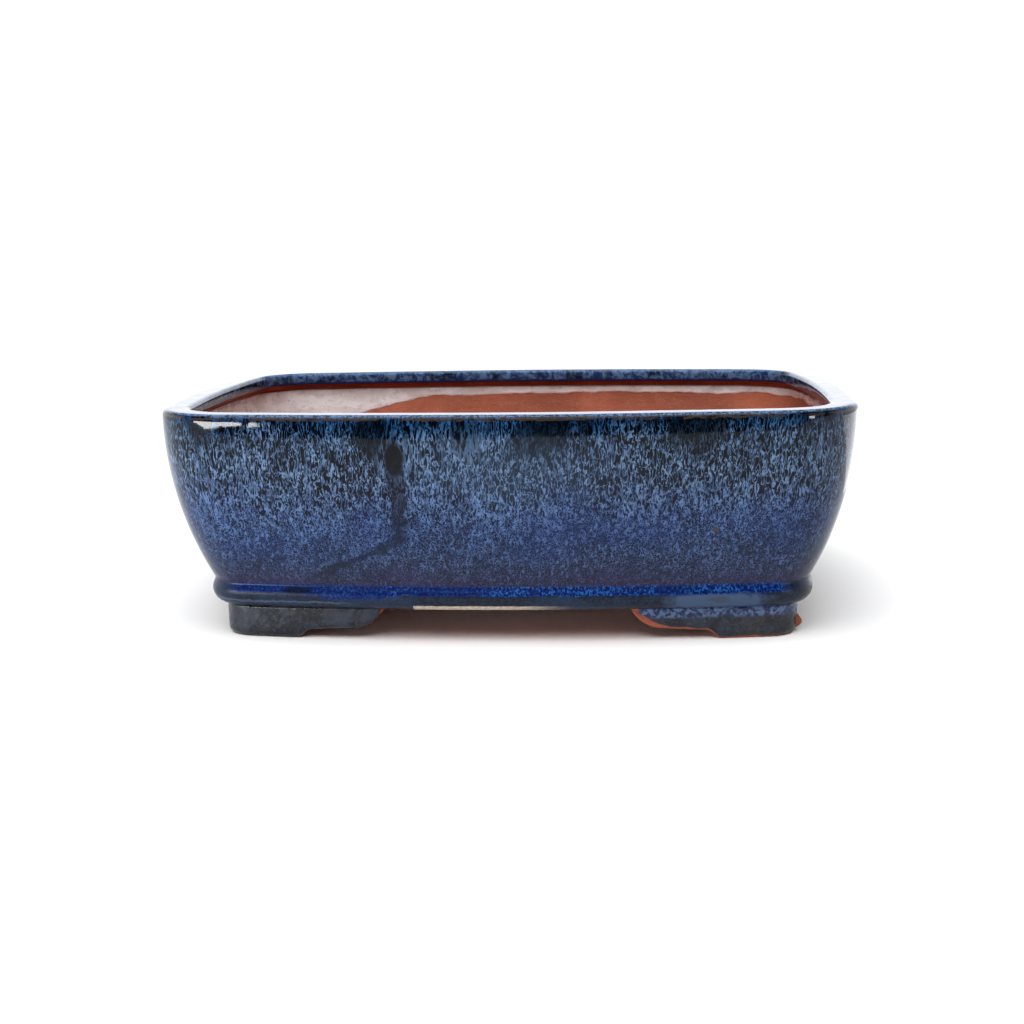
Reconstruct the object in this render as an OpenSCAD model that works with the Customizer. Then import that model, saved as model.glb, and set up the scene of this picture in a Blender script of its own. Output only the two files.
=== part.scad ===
// Glazed stoneware bonsai pot: a bowed, round-cornered rectangle on four cloud feet.
// The origin is the centre of the footprint on the ground, +X along the long side, +Z up.
// Every clay piece that the potter joins, and every coat of glaze, is a solid of its own.

/* [Plan] */
// Overall length, over the widest line just under the rim
pot_length = 300; // [270:5:330]
// Overall width, over the same line
pot_width = 222; // [200:2:240]
// Radius of the four corners at the widest line
corner_radius = 38; // [38:1:42]
// How far the long sides bow outwards
long_bow = 8; // [5:0.5:10]
// How far the short sides bow outwards
short_bow = 4; // [2:0.5:6]

/* [Body] */
// Overall height, with feet and glaze
pot_height = 98; // [96:1:102]
// Radius of the wall's outward curve from rim to band
belly_radius = 145; // [142:1:150]
// Thickness of the wall
wall_thickness = 7; // [6:0.5:8]
// Thickness of the floor slab
floor_thickness = 8; // [7:0.5:8]

/* [Rim] */
// Width of the flat rim, from the outside to its inner face
rim_width = 12; // [11:0.5:14]
// Height of the rim's inner face
lip_height = 6; // [5:0.5:8]

/* [Feet] */
// Height of the feet, which is the gap under the floor
foot_height = 14; // [13:0.5:14]
// Thickness of each foot, front to back
foot_thickness = 11; // [9:0.5:12]
// Distance from the middle of the long side to where a foot meets the ground
long_gap = 90; // [86:1:96]
// The same on the short side
short_gap = 57; // [54:1:62]

/* [Floor holes] */
// Diameter of the two drain holes
drain_diameter = 22; // [14:1:28]
// Distance between the drain holes
drain_spacing = 124; // [100:2:140]
// Diameter of the four holes for the tie wires
wire_diameter = 4.4; // [3:0.2:6]
// Distance between the wire holes along the pot
wire_spacing_x = 176; // [160:2:190]
// Distance between the wire holes across the pot
wire_spacing_y = 90; // [60:2:100]

/* [Glaze] */
// Thickness of the blue glaze on rim, wall and band
glaze_thickness = 0.8; // [0.5:0.1:1]
// Thickness of the thin glaze lap inside, below the rim
lap_thickness = 0.35; // [0.2:0.05:0.5]

/* [Hidden] */

clay = [0.62, 0.36, 0.27];
blue = [0.14, 0.22, 0.42];
pale = [0.72, 0.70, 0.70];

// Plan: each side is one long arc that has fallen by its bow where the corner's rounding starts.
half_length = pot_length / 2;
half_width = pot_width / 2;
function arc_radius(half_chord, bow) = (half_chord * half_chord + bow * bow) / (2 * bow);
long_radius = arc_radius(half_length - corner_radius, long_bow);
short_radius = arc_radius(half_width - corner_radius, short_bow);
long_centre = [0, long_radius - half_width];
short_centre = [half_length - short_radius, 0];

// The corner's centre is where circles parallel to a long and a short side, one corner radius in, cross.
long_inside = long_radius - corner_radius;
short_inside = short_radius - corner_radius;
apart = norm(short_centre - long_centre);
ahead = (long_inside * long_inside - short_inside * short_inside + apart * apart) / (2 * apart);
aside = sqrt(long_inside * long_inside - ahead * ahead);
toward = (short_centre - long_centre) / apart;
crossing = long_centre + ahead * toward + aside * [toward.y, -toward.x] * (toward.y < 0 ? -1 : 1);
corner_x = abs(crossing.x);
corner_y = abs(crossing.y);

// Half of the angle that each side spans from its arc's centre
long_half = asin(corner_x / long_inside);
short_half = asin(corner_y / short_inside);

// The plan's stations, anticlockwise from the right: each is an arc's centre, its radius and an angle.
long_steps = 6;
short_steps = 4;
corner_steps = 8;
function bend(centre, radius, from, to, steps) = [
    for (i = [0:steps - 1]) [centre.x, centre.y, radius, from + (to - from) * i / steps]
];
stations = concat(
    bend(short_centre, short_radius, -short_half, short_half, short_steps),
    bend([corner_x, corner_y], corner_radius, short_half, 90 - long_half, corner_steps),
    bend(-long_centre, long_radius, 90 - long_half, 90 + long_half, long_steps),
    bend([-corner_x, corner_y], corner_radius, 90 + long_half, 180 - short_half, corner_steps),
    bend(-short_centre, short_radius, 180 - short_half, 180 + short_half, short_steps),
    bend([-corner_x, -corner_y], corner_radius, 180 + short_half, 270 - long_half, corner_steps),
    bend(long_centre, long_radius, 270 - long_half, 270 + long_half, long_steps),
    bend([corner_x, -corner_y], corner_radius, 270 + long_half, 360 - short_half, corner_steps)
);
function at_station(s, inset) = [s[0] + (s[2] - inset) * cos(s[3]), s[1] + (s[2] - inset) * sin(s[3])];

// Section: every point is [inset, height], with inset measured inwards from the widest line.
rim_edge_radius = 2;
lip_edge_radius = 1.2;
widest_z = pot_height - rim_edge_radius;
lip_bottom = pot_height - lip_height;
floor_top = foot_height + floor_thickness;
band_inset = 17.4;
band_radius = 6.4;
band_z = foot_height + 6;
band_end_angle = -70;
groove_inset = 20;
groove_z = band_z + 4.2;
bead_top_z = groove_z - 0.6;
wall_end_z = groove_z + 2;
seam_inset = 23.4;
foot_inset = 23.6;
inner_offset = glaze_thickness + wall_thickness;
coil_leg = 4;
coil_sag = 1.4;
coil_top = floor_top + coil_leg;
lap_top = lip_bottom - 2.5;
lap_bottom = lap_top - 4.5;

// A foot's outline: a lobe down to the ground, a raised shelf, and a curve up to the floor.
lobe_length = 7;
shelf_start_z = 3.8;
shelf_end_z = 4.8;
long_shelf = 17.5;
short_shelf = 10;
rise_length = 14;
bare_foot = 1.2;
beyond = 20;

function spread(from, to, steps) = [for (i = [1:steps]) from + (to - from) * i / steps];
function reversed(list) = [for (i = [len(list) - 1:-1:0]) list[i]];

// Points on a circle, where angle 0 faces outwards and 90 faces up
function arc_points(centre, radius, angles) = [for (a = angles) centre + radius * [-cos(a), sin(a)]];

// Inset of the wall's outer face at a height, at a depth under the glaze's surface
function wall_inset(z, depth = 0) =
    belly_radius - sqrt(pow(belly_radius - depth, 2) - pow(widest_z - z, 2));
function outer_face(heights, depth) = [for (z = heights) [wall_inset(z, depth), z]];
function inner_face(heights, proud = 0) = [for (z = heights) [wall_inset(z) + inner_offset + proud, z]];

// The rim, from the foot of its inner face over the flat top to the widest line
function rim_face(depth) = concat(
    [[rim_width - depth, lip_bottom]],
    arc_points(
        [rim_width - lip_edge_radius, pot_height - lip_edge_radius],
        lip_edge_radius - depth, [180, 135, 90]
    ),
    arc_points([rim_edge_radius, widest_z], rim_edge_radius - depth, [90, 60, 30, 0])
);

// The groove's bottom and the band's round face below it
function band_face(depth) = let (
    top_angle = asin((bead_top_z - band_z) / (band_radius - depth)),
    centre = [band_inset + band_radius, band_z]
) concat(
    [[groove_inset + depth, groove_z], centre + (band_radius - depth) * [-cos(top_angle), sin(top_angle)]],
    arc_points(centre, band_radius - depth, spread(top_angle, band_end_angle, 7))
);

lip_heights = [lip_bottom];
wall_heights = spread(lip_bottom, wall_end_z, 8);
inside_heights = concat([floor_top, coil_top], spread(coil_top, lap_bottom, 6), [lap_top, lip_bottom]);

// Sweeps an outline of [inset, height] points round the whole plan as one closed ring.
module ring(outline) {
    count = len(outline);
    total = len(stations);
    polyhedron(
        points = [for (s = stations, p = outline) concat(at_station(s, p.x), p.y)],
        faces = [
            for (i = [0:total - 1], j = [0:count - 1])
                let (next = (i + 1) % total, up = (j + 1) % count)
                    [i * count + j, i * count + up, next * count + up, next * count + j]
        ]
    );
}

// Everything inside an inset of the plan, between two heights
module plate(inset, from_z, to_z) {
    translate([0, 0, from_z])
        linear_extrude(to_z - from_z)
            polygon([for (s = stations) at_station(s, inset)]);
}

// The floor is one rolled slab, with its holes cut while the clay is soft.
module floor_slab() {
    color(clay)
        difference() {
            plate(seam_inset, foot_height, floor_top);
            for (sx = [-1, 1]) {
                floor_hole([sx * drain_spacing / 2, 0], drain_diameter);
                for (sy = [-1, 1])
                    floor_hole([sx * wire_spacing_x / 2, sy * wire_spacing_y / 2], wire_diameter);
            }
        }
}

module floor_hole(place, diameter) {
    translate([place.x, place.y, foot_height - 1])
        cylinder(h = floor_thickness + 2, d = diameter, $fn = 96);
}

// The wall is one strip of clay standing on the floor's edge, rebated at its foot for the band.
module wall() {
    color(clay)
        ring(concat(
            [[seam_inset, floor_top]],
            inner_face(inside_heights),
            outer_face([lip_bottom], glaze_thickness),
            outer_face(wall_heights, glaze_thickness),
            [[groove_inset + glaze_thickness, groove_z], [seam_inset, groove_z]]
        ));
}

// The rim is a flat strap on top of the wall that hangs over inside.
module rim_lip() {
    color(clay)
        ring(concat(rim_face(glaze_thickness), outer_face(lip_heights, glaze_thickness)));
}

// The band is a round-faced strip over the seam of wall and floor.
module base_band() {
    color(clay)
        ring(concat(
            [[seam_inset, groove_z]],
            band_face(glaze_thickness),
            [[seam_inset, foot_height]]
        ));
}

// A coil pressed into the inside corner of wall and floor
module seam_coil() {
    low = inner_face([floor_top])[0];
    high = inner_face([coil_top])[0];
    color(clay)
        ring([low, low + [coil_leg, 0], low + [coil_leg / 2, coil_sag], high]);
}

// A curb between two insets, cut to one quarter of the plan and to the outline of the gaps
module foot_strip(quarter, near, far, low_z) {
    difference() {
        intersection() {
            difference() {
                plate(near, low_z, foot_height);
                plate(far, low_z - 1, foot_height + 1);
            }
            translate([quarter.x * half_length, quarter.y * half_width, 0])
                cube([1.6 * half_length, 1.6 * half_width, 2 * beyond], center = true);
        }
        translate([0, half_width, 0])
            rotate([90, 0, 0])
                linear_extrude(pot_width)
                    gap_outline(long_gap, long_shelf);
        translate([-half_length, 0, 0])
            rotate([90, 0, 90])
                linear_extrude(pot_length)
                    gap_outline(short_gap, short_shelf);
    }
}

// Half of the open space between two feet, from the ground up, and its mirror image
module gap_outline(ground_x, shelf) {
    lobe_end = ground_x - lobe_length;
    shelf_end = lobe_end - shelf;
    rise = foot_height - shelf_end_z;
    radius = arc_radius(rise_length, rise);
    last = asin(rise_length / radius);
    half = concat(
        [[ground_x, -beyond], [ground_x, 0]],
        [for (t = spread(0, 1, 6)) [ground_x - lobe_length * t, shelf_start_z * (1 - cos(180 * t)) / 2]],
        [[shelf_end, shelf_end_z]],
        [for (a = spread(0, last, 6)) [shelf_end - radius * sin(a), shelf_end_z + radius * (1 - cos(a))]],
        [[shelf_end - rise_length, foot_height + 1]]
    );
    polygon(concat(half, reversed([for (p = half) [-p.x, p.y]])));
}

module foot(quarter) {
    near = foot_inset + glaze_thickness;
    color(clay)
        foot_strip(quarter, near, near + foot_thickness, 0);
}

// The glaze on a foot's outer face stops short of the ground, where the potter wipes it off.
module foot_glaze(quarter) {
    color(blue)
        foot_strip(quarter, foot_inset, foot_inset + glaze_thickness, bare_foot);
}

module foot_front_left() { foot([-1, -1]); }
module foot_front_right() { foot([1, -1]); }
module foot_back_left() { foot([-1, 1]); }
module foot_back_right() { foot([1, 1]); }
module foot_glaze_front_left() { foot_glaze([-1, -1]); }
module foot_glaze_front_right() { foot_glaze([1, -1]); }
module foot_glaze_back_left() { foot_glaze([-1, 1]); }
module foot_glaze_back_right() { foot_glaze([1, 1]); }

// One coat of blue glaze from the foot of the rim's inner face, over the rim, to the band's lower edge
module outer_glaze() {
    color(blue)
        ring(concat(coat(0), reversed(coat(glaze_thickness))));
}
function coat(depth) = concat(
    rim_face(depth),
    outer_face(lip_heights, depth),
    outer_face(wall_heights, depth),
    band_face(depth)
);

// The edge of the thin inside glaze, a pale stripe round the wall below the rim
module inner_glaze_lap() {
    color(pale)
        ring(concat(
            inner_face([lap_bottom, lap_top]),
            inner_face([lap_top, lap_bottom], lap_thickness)
        ));
}

floor_slab();
wall();
rim_lip();
base_band();
seam_coil();
foot_front_left();
foot_front_right();
foot_back_left();
foot_back_right();
outer_glaze();
inner_glaze_lap();
foot_glaze_front_left();
foot_glaze_front_right();
foot_glaze_back_left();
foot_glaze_back_right();
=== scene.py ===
import math

import bmesh
import bpy
import numpy as np
from mathutils import Matrix, Vector, noise
from mathutils.geometry import delaunay_2d_cdt


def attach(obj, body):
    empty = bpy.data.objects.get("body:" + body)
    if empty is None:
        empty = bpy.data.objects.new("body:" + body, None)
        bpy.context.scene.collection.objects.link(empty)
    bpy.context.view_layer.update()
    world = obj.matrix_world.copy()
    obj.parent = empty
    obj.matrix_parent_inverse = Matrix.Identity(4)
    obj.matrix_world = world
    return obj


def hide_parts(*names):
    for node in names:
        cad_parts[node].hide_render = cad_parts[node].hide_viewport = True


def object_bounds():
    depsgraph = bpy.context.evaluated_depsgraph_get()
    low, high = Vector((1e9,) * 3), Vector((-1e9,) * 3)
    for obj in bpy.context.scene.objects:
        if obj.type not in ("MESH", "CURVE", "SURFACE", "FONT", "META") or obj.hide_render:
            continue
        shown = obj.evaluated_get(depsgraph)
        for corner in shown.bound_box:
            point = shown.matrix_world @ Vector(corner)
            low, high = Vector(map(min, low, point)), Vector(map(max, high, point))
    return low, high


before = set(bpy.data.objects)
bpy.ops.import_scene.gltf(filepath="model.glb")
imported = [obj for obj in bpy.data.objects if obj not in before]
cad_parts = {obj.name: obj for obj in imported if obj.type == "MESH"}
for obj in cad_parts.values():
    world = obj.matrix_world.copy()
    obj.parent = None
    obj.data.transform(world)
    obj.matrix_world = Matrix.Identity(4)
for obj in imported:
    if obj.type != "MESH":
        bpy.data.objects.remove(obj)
lowest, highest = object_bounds()

# ---------------------------------------------------------------------------------------------
# Floor slab. One rolled sheet of red stoneware clay, cut to the bowed plan, with two drain
# holes and four holes for the tie wires cut while it is soft. The walls and feet are joined to it.
# ---------------------------------------------------------------------------------------------
half_length = (highest.x - lowest.x) / 2
half_width = (highest.y - lowest.y) / 2
corner_radius = 0.038
long_bow = 0.008
short_bow = 0.004


def arc_radius(half_chord, bow):
    """Radius of an arc that rises by bow over a chord."""
    return (half_chord**2 + bow**2) / (2 * bow)


long_radius = arc_radius(half_length - corner_radius, long_bow)
short_radius = arc_radius(half_width - corner_radius, short_bow)
long_centre = np.array([0.0, half_width - long_radius])
short_centre = np.array([half_length - short_radius, 0.0])

# The corner's centre lies one corner radius inside both sides' arcs.
long_inside = long_radius - corner_radius
short_inside = short_radius - corner_radius
apart = np.linalg.norm(short_centre - long_centre)
toward = (short_centre - long_centre) / apart
ahead = (long_inside**2 - short_inside**2 + apart**2) / (2 * apart)
aside = math.sqrt(long_inside**2 - ahead**2)
corner = long_centre + ahead * toward + aside * np.array([toward[1], -toward[0]])
long_half = math.asin(corner[0] / long_inside)
short_half = math.asin(corner[1] / short_inside)


def plan_stations(step):
    """The pot's outline, anticlockwise from the right: arc centre x and y, radius and angle."""
    quarter = math.pi / 2
    turns = [
        (short_centre, short_radius, -short_half, short_half),
        (corner, corner_radius, short_half, quarter - long_half),
        (long_centre, long_radius, quarter - long_half, quarter + long_half),
        (corner * (-1, 1), corner_radius, quarter + long_half, 2 * quarter - short_half),
        (-short_centre, short_radius, 2 * quarter - short_half, 2 * quarter + short_half),
        (-corner, corner_radius, 2 * quarter + short_half, 3 * quarter - long_half),
        (-long_centre, long_radius, 3 * quarter - long_half, 3 * quarter + long_half),
        (corner * (1, -1), corner_radius, 3 * quarter + long_half, 4 * quarter - short_half),
    ]
    rows = []
    for centre, radius, start, end in turns:
        count = max(2, round(radius * (end - start) / step))
        for i in range(count):
            rows.append((centre[0], centre[1], radius, start + (end - start) * i / count))
    return np.array(rows)


def outline(stations, inset):
    """Points of the plan at a distance inside the widest line."""
    reach = stations[:, 2] - inset
    return np.stack([stations[:, 0] + reach * np.cos(stations[:, 3]),
                     stations[:, 1] + reach * np.sin(stations[:, 3])], axis=1)


def linked(tree, kind, values=(), **settings):
    """A node with its settings, and each input set to a value or joined to a socket."""
    made = tree.nodes.new(kind)
    for name, value in settings.items():
        setattr(made, name, value)
    for name, value in dict(values).items():
        if isinstance(value, bpy.types.NodeSocket):
            tree.links.new(value, made.inputs[name])
        else:
            made.inputs[name].default_value = value
    return made


def new_tree(name, sockets):
    """A Geometry Nodes tree with named inputs, and the group input node's outputs by name."""
    tree = bpy.data.node_groups.new(name, "GeometryNodeTree")
    tree.interface.new_socket("Geometry", in_out="OUTPUT", socket_type="NodeSocketGeometry")
    for label, kind, value in sockets:
        socket = tree.interface.new_socket(label, in_out="INPUT", socket_type=kind)
        if value is not None:
            socket.default_value = value
    return tree, tree.nodes.new("NodeGroupInput").outputs


# Clay is pushed a little out of true by hand. The same slow waver runs through every piece, always
# inwards and downwards, so the pieces stay together and the feet stay on the ground. Its push is a
# share of each point's place.
waver, given = new_tree("Hand waver", [
    ("Geometry", "NodeSocketGeometry", None),
    ("Waver", "NodeSocketFloat", 0.0062),
    ("Waves per metre", "NodeSocketFloat", 10.5),
    ("Seed", "NodeSocketFloat", 3.7),
])
at = linked(waver, "GeometryNodeInputPosition").outputs[0]
slow = linked(waver, "ShaderNodeTexNoise",
              {"Vector": at, "W": given["Seed"], "Scale": given["Waves per metre"],
               "Detail": 1.0, "Roughness": 0.4}, noise_dimensions="4D").outputs["Color"]
spread = linked(waver, "ShaderNodeMapRange",
                {"Vector": slow, "From Min": (0.3,) * 3, "From Max": (0.7,) * 3,
                 "To Min": (-0.06, -0.06, -0.03), "To Max": (-1.0, -1.0, -0.45)},
                data_type="FLOAT_VECTOR").outputs["Vector"]
share = linked(waver, "ShaderNodeVectorMath", {0: spread, 1: at}, operation="MULTIPLY").outputs[0]
push = linked(waver, "ShaderNodeVectorMath", {0: share, "Scale": given["Waver"]},
              operation="SCALE").outputs[0]
moved = linked(waver, "GeometryNodeSetPosition", {"Geometry": given["Geometry"], "Offset": push})
linked(waver, "NodeGroupOutput", {"Geometry": moved.outputs[0]})

# A loose piece only needs the waver, real geometry and its finish.
loose, given = new_tree("Wavered piece", [
    ("Geometry", "NodeSocketGeometry", None),
    ("Waver", "NodeSocketFloat", 0.0062),
    ("Finish", "NodeSocketMaterial", None),
])
hand = linked(loose, "GeometryNodeGroup", node_tree=waver)
loose.links.new(given["Geometry"], hand.inputs["Geometry"])
loose.links.new(given["Waver"], hand.inputs["Waver"])
real = linked(loose, "GeometryNodeRealizeInstances", {"Geometry": hand.outputs[0]})
done = linked(loose, "GeometryNodeSetMaterial",
              {"Geometry": real.outputs[0], "Material": given["Finish"]})
linked(loose, "NodeGroupOutput", {"Geometry": done.outputs[0]})


def settle(piece, tree, values, slot, *nodes):
    """Runs a tree on a piece, keeps its result as a plain mesh, and puts the piece in the frame."""
    modifier = piece.modifiers.new(tree.name, "NODES")
    modifier.node_group = tree
    for item in tree.interface.items_tree:
        if item.in_out == "INPUT" and item.name in values:
            modifier[item.identifier] = values[item.name]
    seen = piece.evaluated_get(bpy.context.evaluated_depsgraph_get())
    plain = bpy.data.meshes.new_from_object(seen)
    piece.modifiers.clear()
    piece.data = plain
    plain.name = piece.name
    work = bmesh.new()
    work.from_mesh(plain)
    bmesh.ops.recalc_face_normals(work, faces=work.faces)
    if work.calc_volume(signed=True) < 0:
        bmesh.ops.reverse_faces(work, faces=work.faces)
    work.to_mesh(plain)
    work.free()
    plain.shade_smooth()
    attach(piece, "root")
    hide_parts(*nodes)
    return piece


def new_piece(name, points, faces, edges=()):
    """An object at the origin with its place in its mesh."""
    body = bpy.data.meshes.new(name)
    places = [tuple(map(float, point)) for point in points]
    body.from_pydata(places, list(edges), [tuple(map(int, face)) for face in faces])
    piece = bpy.data.objects.new(name, body)
    bpy.context.scene.collection.objects.link(piece)
    return piece


def tone(red, green, blue):
    """A paint-card colour in linear light."""
    def linear(part):
        part /= 255
        return part / 12.92 if part <= 0.04045 else ((part + 0.055) / 1.055) ** 2.4
    return (linear(red), linear(green), linear(blue), 1.0)


class Finish:
    """A fired surface mixed step by step. Each step gives the socket that the next one takes."""

    def __init__(self, name):
        self.material = bpy.data.materials.new(name)
        self.material.use_nodes = True
        self.tree = self.material.node_tree
        self.shader = self.tree.nodes["Principled BSDF"]
        self.place = self.add("ShaderNodeTexCoord").outputs["Object"]
        axes = self.add("ShaderNodeSeparateXYZ", {"Vector": self.place}).outputs
        self.x, self.y, self.z = axes[0], axes[1], axes[2]

    def add(self, kind, values=(), **settings):
        return linked(self.tree, kind, values, **settings)

    def sum(self, operation, first, second=0.0, third=0.0):
        return self.add("ShaderNodeMath", {0: first, 1: second, 2: third}, operation=operation).outputs[0]

    def stretch(self, across, up, shift=(0.0, 0.0, 0.0)):
        moved = self.add("ShaderNodeVectorMath", {0: self.place, 1: shift}, operation="ADD").outputs[0]
        return self.add("ShaderNodeVectorMath", {0: moved, 1: (across, across, up)},
                        operation="MULTIPLY").outputs[0]

    def cloud(self, scale, detail=2.0, rough=0.5, twist=0.0, place=None):
        return self.add("ShaderNodeTexNoise",
                        {"Vector": place or self.place, "Scale": scale, "Detail": detail,
                         "Roughness": rough, "Distortion": twist}).outputs["Fac"]

    def cells(self, scale):
        return self.add("ShaderNodeTexVoronoi", {"Vector": self.place, "Scale": scale}).outputs["Distance"]

    def ramp(self, value, start, end, low=0.0, high=1.0):
        return self.add("ShaderNodeMapRange",
                        {"Value": value, "From Min": start, "From Max": end, "To Min": low, "To Max": high},
                        interpolation_type="SMOOTHSTEP").outputs[0]

    def both(self, first, second):
        return self.sum("MULTIPLY", first, second)

    def either(self, first, second):
        return self.sum("MAXIMUM", first, second)

    def blend(self, amount, first, second):
        mixed = self.add("ShaderNodeMix", data_type="RGBA")
        for index, value in ((0, amount), (6, first), (7, second)):
            if isinstance(value, bpy.types.NodeSocket):
                self.tree.links.new(value, mixed.inputs[index])
            else:
                mixed.inputs[index].default_value = value
        return mixed.outputs[2]

    def relief(self, height, depth, before=None):
        values = {"Height": height, "Strength": 1.0, "Distance": depth}
        if before:
            values["Normal"] = before
        return self.add("ShaderNodeBump", values).outputs[0]

    def fire(self, colour, roughness, normal, **fixed):
        for name, value in (("Base Color", colour), ("Roughness", roughness), ("Normal", normal)):
            if isinstance(value, bpy.types.NodeSocket):
                self.tree.links.new(value, self.shader.inputs[name])
            elif value is not None:
                self.shader.inputs[name].default_value = value
        for name, value in fixed.items():
            self.shader.inputs[name.replace("_", " ")].default_value = value
        return self.material


def red_clay(name, light, dark):
    """Fired red clay: fine grain, coarser grog, faint smears of ash, and a dry surface. Low down, on the
    slab's underside and the feet, it is darkened brown: painted shade for the dark under the pot."""
    clay = Finish(name)
    patches = clay.cloud(28, 3, 0.6, 0.4)
    grain = clay.cloud(1500, 3, 0.7)
    grog = clay.cells(520)
    smears = clay.cloud(60, 4, 0.65, 0.5, clay.stretch(1.0, 3.2))
    colour = clay.blend(clay.ramp(patches, 0.36, 0.66), dark, light)
    colour = clay.blend(clay.both(clay.ramp(smears, 0.5, 0.72), 0.35), colour, tone(176, 116, 92))
    colour = clay.blend(clay.both(clay.ramp(grain, 0.52, 0.68), 0.4), colour, tone(96, 48, 36))
    colour = clay.blend(clay.both(clay.ramp(grog, 0.16, 0.08), 0.55), colour, tone(202, 158, 128))
    # Painted shade: the clay at and below the slab's underside is darkened to stand in for the shadow under
    # the pot.
    painted_underside_shade = clay.ramp(clay.z, 0.0152, 0.0132)
    colour = clay.blend(clay.both(painted_underside_shade, 0.75), colour, tone(110, 54, 38))
    bumps = clay.relief(smears, 0.0005)
    bumps = clay.relief(clay.sum("ADD", grain, clay.both(grog, 0.5)), 0.00014, bumps)
    dryness = clay.ramp(patches, 0.3, 0.7, 0.78, 0.92)
    return clay.fire(colour, dryness, bumps, Specular_IOR_Level=0.3)


floor_low = 0.014
floor_high = 0.022
seam_inset = 0.0234
drain_radius, drain_x = 0.011, 0.062
wire_radius, wire_x, wire_y = 0.0022, 0.088, 0.045
holes = [(-drain_x, 0.0, drain_radius), (drain_x, 0.0, drain_radius)]
holes += [(x, y, wire_radius) for x in (-wire_x, wire_x) for y in (-wire_y, wire_y)]
hole_lip = 0.0013
hand_slip = 0.00025


def hole_ring(x, y, radius, count):
    """Points round a hole, not quite even, as a hand-held cutter leaves them."""
    ring = []
    for i in range(count):
        turn = 2 * math.pi * i / count
        around = Vector((x * 90 + math.cos(turn), y * 90 + math.sin(turn), 2.0))
        out = radius + hand_slip * noise.noise(around)
        ring.append((x + out * math.cos(turn), y + out * math.sin(turn)))
    return ring


edge = outline(plan_stations(0.004), seam_inset)
loops = [list(map(tuple, edge))]
loops += [hole_ring(x, y, r + hole_lip, 72 if r == drain_radius else 28) for x, y, r in holes]
flat_points, flat_edges = [], []
for ring in loops:
    start = len(flat_points)
    flat_points += [Vector(p) for p in ring]
    flat_edges += [(start + i, start + (i + 1) % len(ring)) for i in range(len(ring))]
# Points a few millimetres apart fill the sheet, clear of its edge and of the holes.
spacing = 0.0045
stray = 0.0006
clear = 0.003
for i in range(-40, 41):
    for j in range(-30, 31):
        x, y = i * spacing + stray * math.sin(i * 3.1 + j), j * spacing + stray * math.cos(j * 2.7 + i)
        from_edge = np.min(np.hypot(edge[:, 0] - x, edge[:, 1] - y))
        inside = np.cross(np.roll(edge, -1, axis=0) - edge, np.array([x, y]) - edge).min() > 0
        off_holes = all(math.hypot(x - a, y - b) > r + clear for a, b, r in holes)
        if from_edge > clear and inside and off_holes:
            flat_points.append(Vector((x, y)))
sheet, _, triangles, _, _, _ = delaunay_2d_cdt(flat_points, flat_edges, [], 1, 1e-7)
laid = np.array([(p.x, p.y) for p in sheet])
rings = [[int(np.argmin(np.hypot(*(laid - point).T))) for point in ring] for ring in loops]
# A triangle with all its corners on one hole's ring would fill the hole, so it is left out.
kept = [list(face) for face in triangles if not any(set(face) <= set(ring) for ring in rings[1:])]
under = len(sheet)
slab_points = [(p.x, p.y, floor_high) for p in sheet] + [(p.x, p.y, floor_low) for p in sheet]
slab_faces = kept + [[i + under for i in reversed(face)] for face in kept]
# Each hole's edges are sponged round: a height in the hole, and how far the clay stands back there.
sponged = ((floor_high - 0.0004, 0.0005), (floor_high - 0.0013, 0.0),
           (floor_low + 0.0011, 0.0), (floor_low + 0.0003, 0.0004))
for k, ring in enumerate(loops):
    rows = [rings[k]]
    if k > 0:
        x, y, r = holes[k - 1]
        for height, back in sponged:
            start = len(slab_points)
            scale = (r + back) / (r + hole_lip)
            slab_points += [(x + (px - x) * scale, y + (py - y) * scale, height) for px, py in ring]
            rows.append(list(range(start, start + len(ring))))
    rows.append([i + under for i in rings[k]])
    for upper, lower in zip(rows, rows[1:]):
        total = len(upper)
        for i in range(total):
            j = (i + 1) % total
            slab_faces.append([upper[i], lower[i], lower[j], upper[j]])
# The rolled face is not quite flat: shallow hollows from the roller and the potter's sponge.
hollow_depth = 0.00035
for i in range(under):
    x, y, z = slab_points[i]
    hollow = 0.5 + 0.5 * noise.noise(Vector((x * 55, y * 30, 0)))
    slab_points[i] = (x, y, z - hollow_depth * hollow)
slab = new_piece("floor_slab_clay", slab_points, slab_faces)
body_clay = red_clay("fired red clay", tone(176, 104, 80), tone(150, 86, 66))
settle(slab, loose, {"Finish": body_clay}, "clay", "floor_slab")

# ---------------------------------------------------------------------------------------------
# Wall. A strip of the same clay, bent round on edge and stood on the slab. It bellies out
# towards the top and its foot is cut back for the base band. The inside face stays unglazed.
# ---------------------------------------------------------------------------------------------
glaze_depth = 0.0008
pot_top = highest.z
lip_bottom = pot_top - 0.006
widest = pot_top - 0.002
belly_radius = 0.145
inner_offset = 0.0078
groove_inset = 0.020
groove_height = 0.0242
wall_end = 0.0262


def wall_inset(height, depth=0.0):
    """How far the wall's outer face lies inside the widest line at a height."""
    return belly_radius - math.sqrt((belly_radius - depth) ** 2 - (widest - height) ** 2)


def heights(start, end, count):
    return [start + (end - start) * i / count for i in range(count + 1)]


def arc(centre, radius, start, end, count):
    """Points on a circle of the section, where angle 0 faces outwards and 90 faces up."""
    turns = [math.radians(start + (end - start) * i / count) for i in range(count + 1)]
    return [(centre[0] - radius * math.cos(t), centre[1] + radius * math.sin(t)) for t in turns]


def even(points, gap):
    """The same line with its points an even gap apart."""
    line = np.array(points, float)
    along = np.concatenate([[0], np.cumsum(np.hypot(*np.diff(line, axis=0).T))])
    count = max(2, round(along[-1] / gap))
    steps = np.linspace(0, along[-1], count + 1)
    return np.stack([np.interp(steps, along, line[:, 0]), np.interp(steps, along, line[:, 1])], axis=1)


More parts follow.
